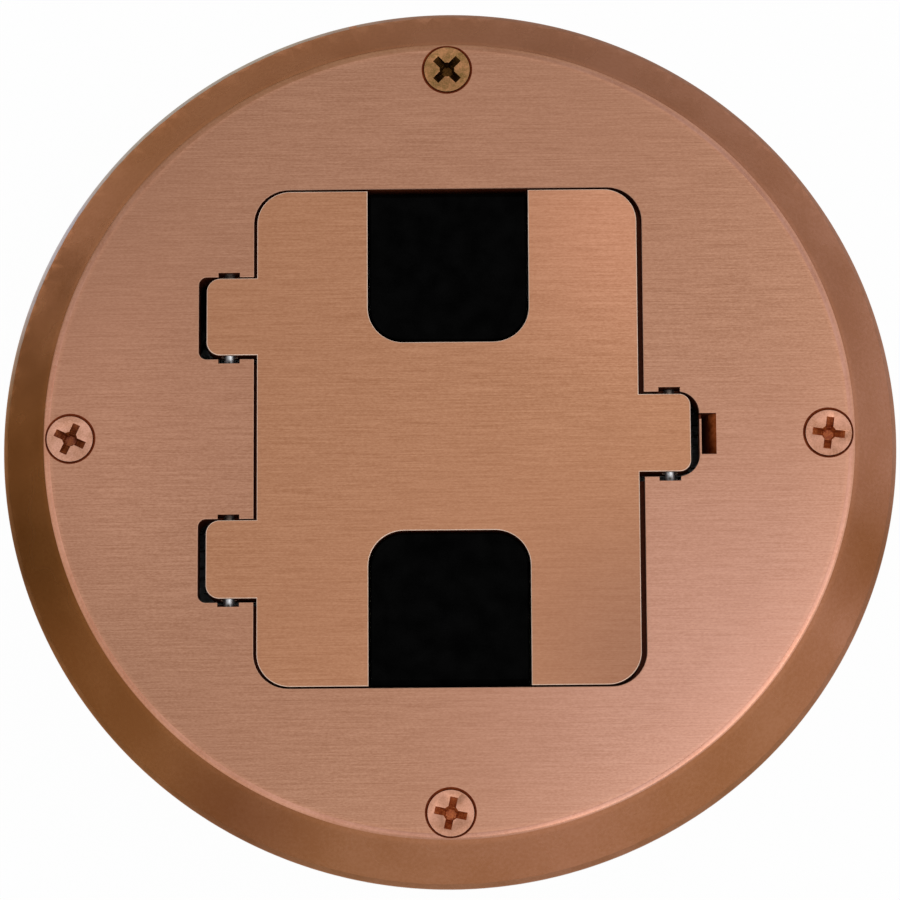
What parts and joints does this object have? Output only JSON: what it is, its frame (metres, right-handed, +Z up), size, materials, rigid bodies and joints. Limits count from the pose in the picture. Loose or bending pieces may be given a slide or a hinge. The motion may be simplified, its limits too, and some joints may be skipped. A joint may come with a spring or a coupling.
{
  "type": "floor socket box",
  "caption": "Round flush floor box with a bevelled brushed-copper cover, a rectangular flip lid, black cord doors and a recessed duplex receptacle.",
  "frame": {"origin": "centre of the mounting flange on the finished-floor plane, which is the underside of the flange and of the cover's rim", "axes": "+Z up out of the floor; +X from the lid's hinge to its latch; the cords leave at +Y and -Y"},
  "size_m": [0.1334, 0.1334, 0.0911],
  "materials": {
    "copper_plate": "brushed copper finish on cast brass",
    "copper_lid": "brushed copper finish on cast brass",
    "copper_screws": "satin copper finish",
    "brass_screw": "satin brass",
    "black_nylon": "moulded satin black",
    "bright_pins": "polished stainless steel",
    "spring_steel": "spring steel",
    "pin_steel": "stainless steel",
    "gasket_rubber": "closed-cell rubber",
    "cast_box": "tumbled die casting",
    "zinc_steel": "zinc-plated steel",
    "plate_steel": "brushed stainless steel",
    "ivory_nylon": "moulded ivory",
    "black_phenolic": "moulded black",
    "contact_brass": "rolled brass",
    "green_steel": "green-dyed steel"
  },
  "bodies": {
    "box": {"box_body": "cast_box", "box_ground_screw": "green_steel", "cover_gasket": "gasket_rubber", "cover_plate": "copper_plate", "cover_screw_brass": "brass_screw", "cover_screws": "copper_screws", "device_plate": "plate_steel", "device_plate_screw": "zinc_steel", "ground_contact": "contact_brass", "ground_terminal_screw": "green_steel", "line_contact": "contact_brass", "line_terminal_screws": "contact_brass", "neutral_contact": "contact_brass", "neutral_terminal_screws": "zinc_steel", "receptacle_base": "black_phenolic", "receptacle_face": "ivory_nylon", "receptacle_rivet": "contact_brass", "receptacle_yoke": "zinc_steel", "yoke_screws": "zinc_steel"},
    "lid": {"lid": "copper_lid", "hinge_bar_north_tube": "pin_steel", "hinge_bar_south_tube": "pin_steel", "latch_bar_tube": "pin_steel", "hinge_bar_north_spring": "spring_steel", "hinge_bar_south_spring": "spring_steel", "latch_bar_spring": "spring_steel", "door_pin_north": "pin_steel", "door_pin_south": "pin_steel", "door_spring_north": "spring_steel", "door_spring_south": "spring_steel"},
    "cord_door_north": {"cord_door_north": "black_nylon"},
    "cord_door_south": {"cord_door_south": "black_nylon"},
    "hinge_bar_north_plunger_north": {"hinge_bar_north_plunger_north": "bright_pins"},
    "hinge_bar_north_plunger_south": {"hinge_bar_north_plunger_south": "bright_pins"},
    "hinge_bar_south_plunger_north": {"hinge_bar_south_plunger_north": "bright_pins"},
    "hinge_bar_south_plunger_south": {"hinge_bar_south_plunger_south": "bright_pins"},
    "latch_bar_plunger_north": {"latch_bar_plunger_north": "bright_pins"},
    "latch_bar_plunger_south": {"latch_bar_plunger_south": "bright_pins"}
  },
  "joints": [
    {"name": "lid_hinge", "type": "hinge", "parent": "box", "child": "lid", "pos_m": [-0.03264, 0, 0.00527], "axis": [0, -1, 0], "range_deg": [0, 130]},
    {"name": "cord_door_north_hinge", "type": "hinge", "parent": "lid", "child": "cord_door_north", "pos_m": [0, 0.01228, 0.00167], "axis": [-1, 0, 0], "range_deg": [0, 90], "stiffness_Nm_per_rad": 0.002, "springref_deg": -57.3, "deforming": ["door_spring_north"]},
    {"name": "cord_door_south_hinge", "type": "hinge", "parent": "lid", "child": "cord_door_south", "pos_m": [0, -0.01228, 0.00167], "axis": [1, 0, 0], "range_deg": [0, 90], "stiffness_Nm_per_rad": 0.002, "springref_deg": -57.3, "deforming": ["door_spring_south"]},
    {"name": "hinge_bar_north_north_slide", "type": "slide", "parent": "lid", "child": "hinge_bar_north_plunger_north", "axis": [0, -1, 0], "range_m": [0, 0.0012], "stiffness_N_per_m": 1000, "springref_m": -0.0015, "deforming": ["hinge_bar_north_spring"]},
    {"name": "hinge_bar_north_south_slide", "type": "slide", "parent": "lid", "child": "hinge_bar_north_plunger_south", "axis": [0, 1, 0], "range_m": [0, 0.0012], "stiffness_N_per_m": 1000, "springref_m": -0.0015, "deforming": ["hinge_bar_north_spring"]},
    {"name": "hinge_bar_south_north_slide", "type": "slide", "parent": "lid", "child": "hinge_bar_south_plunger_north", "axis": [0, -1, 0], "range_m": [0, 0.0012], "stiffness_N_per_m": 1000, "springref_m": -0.0015, "deforming": ["hinge_bar_south_spring"]},
    {"name": "hinge_bar_south_south_slide", "type": "slide", "parent": "lid", "child": "hinge_bar_south_plunger_south", "axis": [0, 1, 0], "range_m": [0, 0.0012], "stiffness_N_per_m": 1000, "springref_m": -0.0015, "deforming": ["hinge_bar_south_spring"]},
    {"name": "latch_bar_north_slide", "type": "slide", "parent": "lid", "child": "latch_bar_plunger_north", "axis": [0, -1, 0], "range_m": [0, 0.0012], "stiffness_N_per_m": 1000, "springref_m": -0.0015, "deforming": ["latch_bar_spring"]},
    {"name": "latch_bar_south_slide", "type": "slide", "parent": "lid", "child": "latch_bar_plunger_south", "axis": [0, 1, 0], "range_m": [0, 0.0012], "stiffness_N_per_m": 1000, "springref_m": -0.0015, "deforming": ["latch_bar_spring"]}
  ]
}
